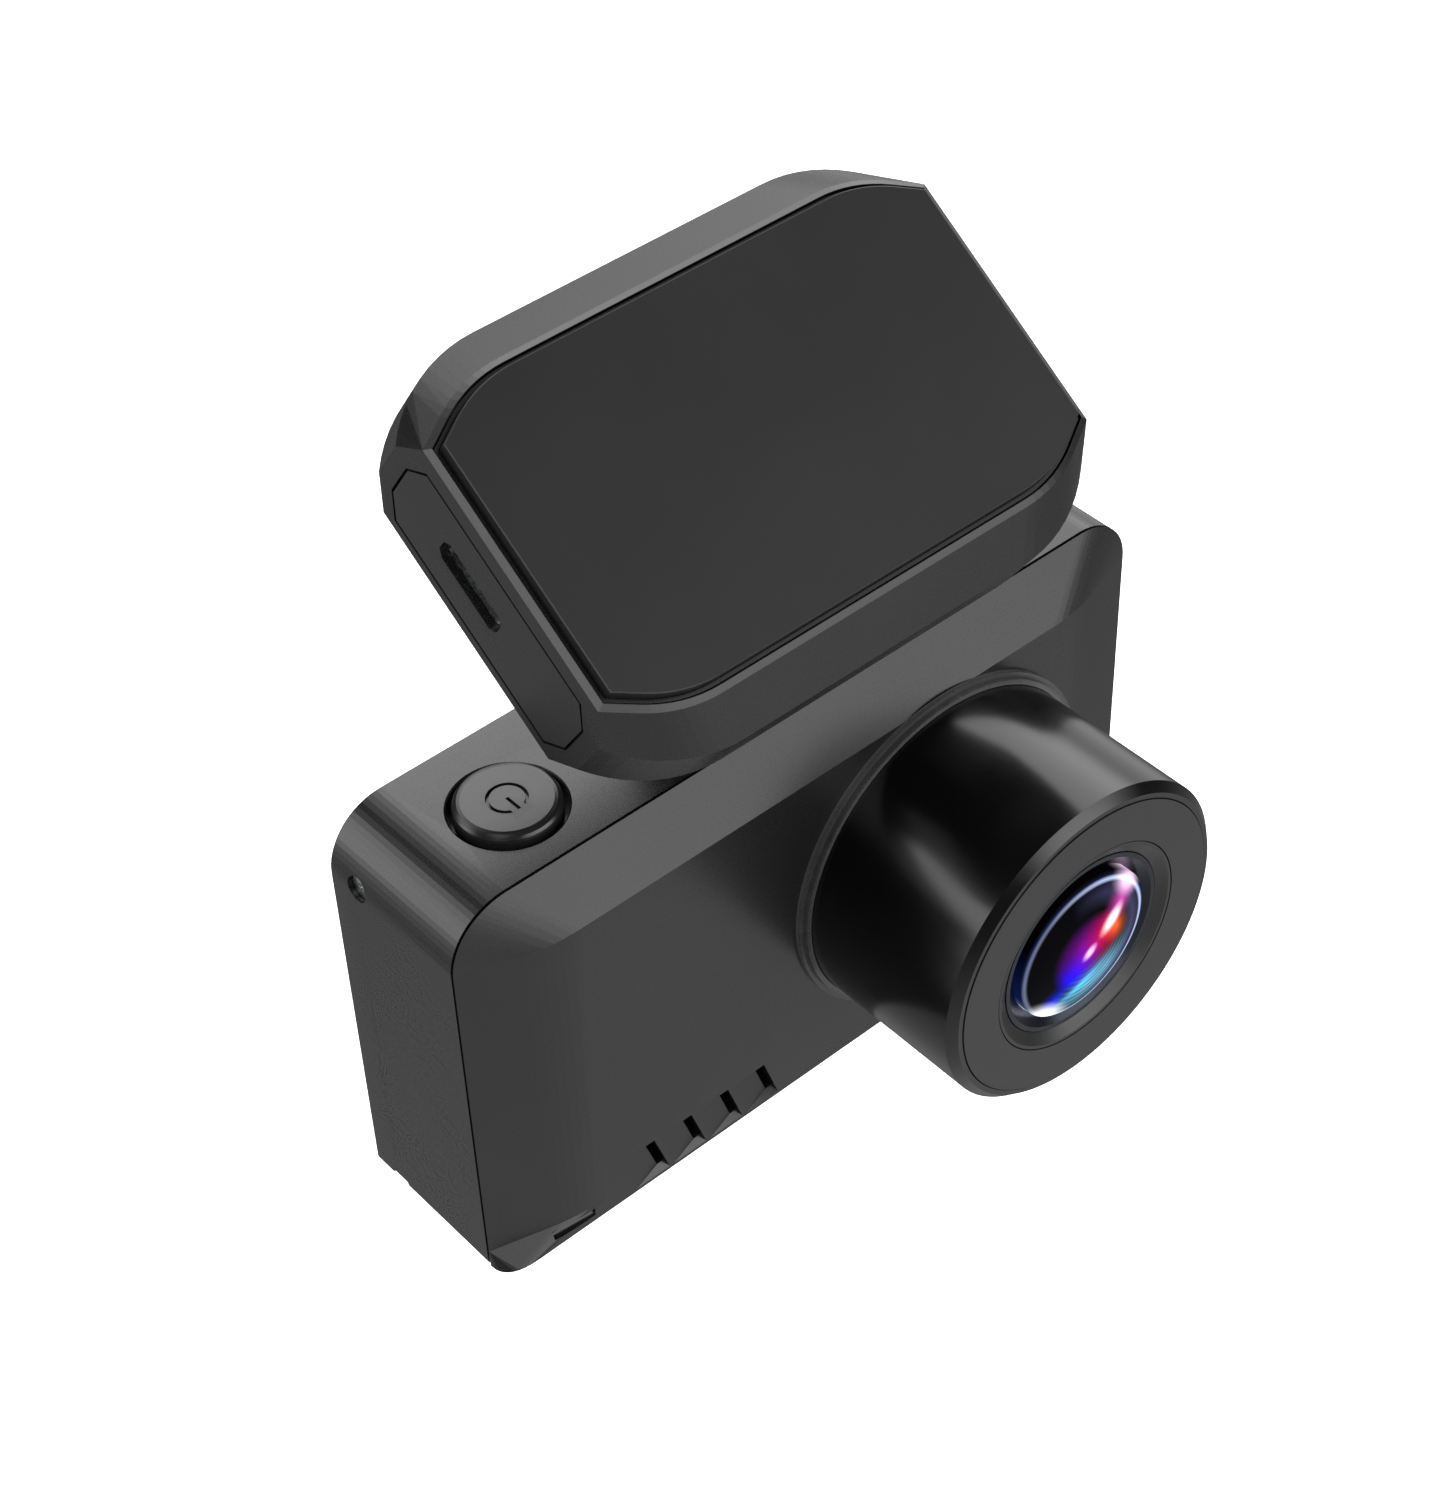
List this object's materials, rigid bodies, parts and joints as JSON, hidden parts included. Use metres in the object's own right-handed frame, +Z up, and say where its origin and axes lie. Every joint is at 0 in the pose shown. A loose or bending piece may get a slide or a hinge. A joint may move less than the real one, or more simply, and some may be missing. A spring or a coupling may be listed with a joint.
{
  "type": "dash camera",
  "caption": "Windscreen dash camera: boxy body with a large lens barrel, slid onto a tilting shoe under an adhesive bracket with a power inlet.",
  "frame": {"origin": "centre of the adhesive face that meets the windscreen", "axes": "+Z up, -Y along the lens axis towards the scene, +X to the right as seen by someone facing the lens"},
  "size_m": [0.085, 0.0511, 0.0859],
  "materials": {
    "satin_black": "fine grain, satin",
    "gloss_black": "smooth, semi-gloss",
    "foam_tape": "smooth backing",
    "bright_metal": "plated",
    "dark_metal": "black oxide",
    "circuit_board": "solder mask",
    "ceramic": "glazed",
    "nylon": "natural",
    "gold_contact": "gold plated",
    "anodised_ring": "blue-grey anodised",
    "coated_glass": "polished, coated",
    "dark_plastic": "moulded",
    "sensor": "polished",
    "capacitor_sleeve": "heat-shrunk sleeve",
    "screen_panel": "polished",
    "cover_glass": "polished"
  },
  "bodies": {
    "bracket": {"bracket_shell": "satin_black", "bracket_lid": "satin_black", "adhesive_pad": "foam_tape", "port_panel": "satin_black", "power_inlet": "bright_metal", "bracket_board": "circuit_board", "gps_patch": "ceramic", "power_coil": "dark_metal", "lid_screws": "bright_metal", "hinge_screw": "dark_metal", "hinge_nut": "bright_metal", "friction_washers": "nylon"},
    "shoe": {"shoe": "satin_black", "shoe_pins": "gold_contact"},
    "camera": {"rail": "satin_black", "rail_screws": "bright_metal", "contact_pads": "gold_contact", "case": "satin_black", "front_shell": "satin_black", "trim_ring": "gloss_black", "lens_barrel": "gloss_black", "barrel_cover": "satin_black", "lens_hood": "satin_black", "retaining_ring": "anodised_ring", "front_glass": "coated_glass", "lens_cell": "dark_metal", "middle_glass": "coated_glass", "aperture_stop": "dark_metal", "rear_glass": "coated_glass", "lens_holder": "dark_plastic", "image_sensor": "sensor", "sensor_board": "circuit_board", "main_board": "circuit_board", "shield_can": "bright_metal", "supercap_upper": "capacitor_sleeve", "supercap_lower": "capacitor_sleeve", "speaker": "dark_plastic", "microphone": "bright_metal", "card_socket": "bright_metal", "screen": "screen_panel", "screen_cover": "cover_glass", "side_screws": "bright_metal", "board_screws": "bright_metal", "button_switch": "bright_metal"},
    "button": {"power_button": "satin_black"},
    "card": {"memory_card": "dark_plastic"}
  },
  "joints": [
    {"name": "bracket_tilt", "type": "hinge", "parent": "bracket", "child": "shoe", "pos_m": [0, 0.00766, -0.01966], "axis": [1, 0, 0], "range_deg": [-25, 50]},
    {"name": "quick_release", "type": "slide", "parent": "shoe", "child": "camera", "axis": [1, 0, 0], "range_m": [0, 0.022]},
    {"name": "button_press", "type": "slide", "parent": "camera", "child": "button", "axis": [0, 0, -1], "range_m": [0, 0.0006], "stiffness_N_per_m": 2500, "springref_m": -0.0002},
    {"name": "card_slide", "type": "slide", "parent": "camera", "child": "card", "axis": [1, 0, 0], "range_m": [-0.0008, 0.0125]}
  ]
}
